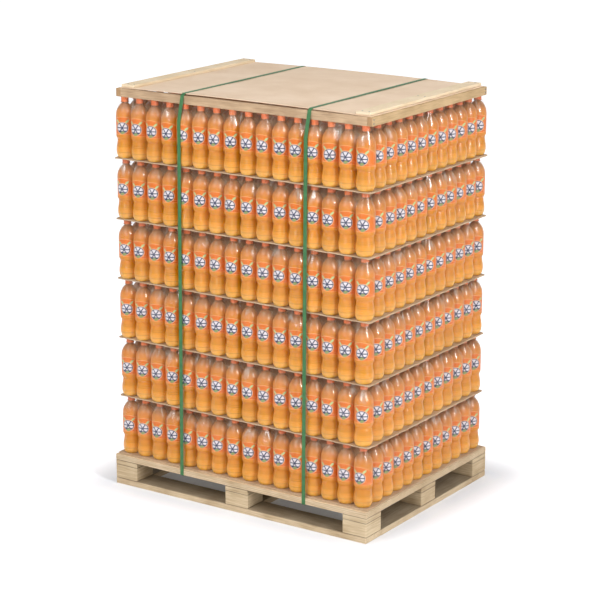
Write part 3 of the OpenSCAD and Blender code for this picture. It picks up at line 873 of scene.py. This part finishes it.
def strap_band(name, node, material):
    low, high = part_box(node)
    flat = sorted({(round(v.co.y, 5), round(v.co.z, 5)) for v in cad[node].data.vertices})
    outer = [np.array(flat[i]) for i in convex_hull_2d(flat)]
    path = []
    for before, corner, after in zip(outer[-1:] + outer[:-1], outer, outer[1:] + outer[:1]):
        back, on = before - corner, after - corner
        back, on = back / np.linalg.norm(back), on / np.linalg.norm(on)
        half = math.acos(float(np.clip(back @ on, -1, 1))) / 2
        inward = (back + on) / np.linalg.norm(back + on)
        centre = corner + inward * BEND / math.sin(half)
        spread = math.pi / 2 - half
        side = 1 if back[0] * on[1] - back[1] * on[0] < 0 else -1
        for step in range(BEND_STEPS + 1):
            a = spread * (2 * step / BEND_STEPS - 1) * side
            out = -inward
            path.append((centre, np.array([out[0] * math.cos(a) - out[1] * math.sin(a),
                                           out[0] * math.sin(a) + out[1] * math.cos(a)])))
    points = []
    for centre, out in path:
        for x, depth in ((low.x, 0), (high.x, 0), (high.x, STRAP_T), (low.x, STRAP_T)):
            y, z = centre + out * (BEND - depth)
            points.append((x, y, z))
    band = mesh_object(name, points, loft(len(path), 4, closed=True), material)
    face_out(band)
    stands_for(band, node)


# Rolled polyester strap is dense and satin, with faint changes of tint. Its chequer
# of bumps, 2.5 by 3.2 mm, has its real size, too fine to show from the camera.
strap_green, tree, shader = new_finish("green polyester strap, embossed")
place = add(tree, "ShaderNodeTexCoord").outputs["Object"]
parts = add(tree, "ShaderNodeSeparateXYZ", (place,))
tints = add(tree, "ShaderNodeTexNoise", {"Vector": place, "Scale": TINTS_PER_M, "Detail": 3.0})
run = add(tree, MATH, (parts.outputs[1], parts.outputs[2]), operation="ADD")
waves = []
for way, length in ((run, RIB_LONG), (parts.outputs[0], RIB_WIDE)):
    phase = add(tree, MATH, (way, 2 * math.pi / length), operation="MULTIPLY")
    waves.append(add(tree, MATH, (phase,), operation="SINE"))
ribs = add(tree, MATH, waves, operation="MULTIPLY")
bump = add(tree, "ShaderNodeBump", {"Height": ribs, "Strength": 0.5, "Distance": RIB_HIGH})
feed(tree, shader, {"Base Color": two_tone(tree, tints, 0.3, "#33653C", 0.7, "#437648"), "Normal": bump,
                    "Roughness": 0.5, "Specular IOR Level": 0.3})
for side in ("left", "right"):
    strap_band(f"strap_band_{side}", f"strap_{side}", strap_green)


# The nails: flat steel heads, driven almost level with the wood: in the bottom boards,
# through the frame's end boards into the long ones, and in the slats' ends.
HEAD_R, HEAD_SIDES = 0.0035, 10
NAIL_PROUD = 0.0004
RUST_PER_M = 900.0  # spots about 1 mm across


def nail_heads(name, heads, facing):
    """heads: points; facing: the turn of each head about X, Y and Z, in degrees."""
    tree = bpy.data.node_groups.new(name, "GeometryNodeTree")
    tree.interface.new_socket("Geometry", in_out="INPUT", socket_type="NodeSocketGeometry")
    radius = tree.interface.new_socket("Head radius", in_out="INPUT", socket_type="NodeSocketFloat")
    turn = tree.interface.new_socket("Facing", in_out="INPUT", socket_type="NodeSocketVector")
    tree.interface.new_socket("Geometry", in_out="OUTPUT", socket_type="NodeSocketGeometry")
    source = add(tree, "NodeGroupInput").outputs
    head = add(tree, "GeometryNodeMeshCylinder", {"Vertices": HEAD_SIDES, "Radius": source["Head radius"],
                                                  "Depth": 2 * NAIL_PROUD})
    placed = add(tree, "GeometryNodeInstanceOnPoints", {
        "Points": source["Geometry"], "Instance": head, "Rotation": source["Facing"]})
    real = add(tree, "GeometryNodeRealizeInstances", {"Geometry": placed})
    coated = add(tree, "GeometryNodeSetMaterial", {"Geometry": real, "Material": nail_steel})
    add(tree, "NodeGroupOutput", {"Geometry": coated})
    seeds = mesh_object(name + "_points", heads, [])
    making = seeds.modifiers.new("nails", "NODES")
    making.node_group = tree
    making[radius.identifier] = HEAD_R
    making[turn.identifier] = [math.radians(d) for d in facing]
    bpy.context.view_layer.update()
    whole = bpy.data.meshes.new_from_object(seeds.evaluated_get(bpy.context.evaluated_depsgraph_get()))
    bpy.data.objects.remove(seeds)
    nails = bpy.data.objects.new(name, whole)
    bpy.context.scene.collection.objects.link(nails)
    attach(nails, "root")


# Drawn steel wire is bright when new and greys in store, so the heads are a dull
# metal with small darker spots.
nail_steel, tree, shader = new_finish("bright nail steel, dulled")
place = add(tree, "ShaderNodeTexCoord").outputs["Object"]
spots = add(tree, "ShaderNodeTexNoise", {"Vector": place, "Scale": RUST_PER_M, "Detail": 2.0})
feed(tree, shader, {"Base Color": two_tone(tree, spots, 0.0, "#5E5A54", 1.0, "#9A9790"), "Metallic": 0.9,
                    "Roughness": 0.45})
BLOCK_NAILS = ((-0.03, -0.028), (0.03, -0.026), (0.002, 0.03))
RIM_NAILS_UP, RIM_NAIL_IN = (0.0095, 0.0235), 0.011
SLAT_NAILS, SLAT_NAIL_IN = (-0.016, 0.014), (0.022, 0.02)
under = [(i * block_x + dx, j * block_y + dy, NAIL_PROUD)
         for i in (-1, 0, 1) for j in (-1, 0, 1) for dx, dy in BLOCK_NAILS]
nail_heads("nails_under", under, (0, 0, 0))
rim_low, rim_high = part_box("top_rim_right")
ends = [(s * (rim_high.x + 0.0001), t * (rim_high.y - RIM_NAIL_IN), rim_low.z + z)
        for s in (-1, 1) for t in (-1, 1) for z in RIM_NAILS_UP]
nail_heads("nails_rim_ends", ends, (0, 90, 0))
slat_low, slat_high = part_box("top_slat_right")
slat_x = (slat_low.x + slat_high.x) / 2
over = [(s * (slat_x + dx), y, slat_high.z) for s in (-1, 1) for dx in SLAT_NAILS
        for y in (-slat_high.y + SLAT_NAIL_IN[0], 0.004, slat_high.y - SLAT_NAIL_IN[1])]
nail_heads("nails_slats", over, (0, 0, 0))
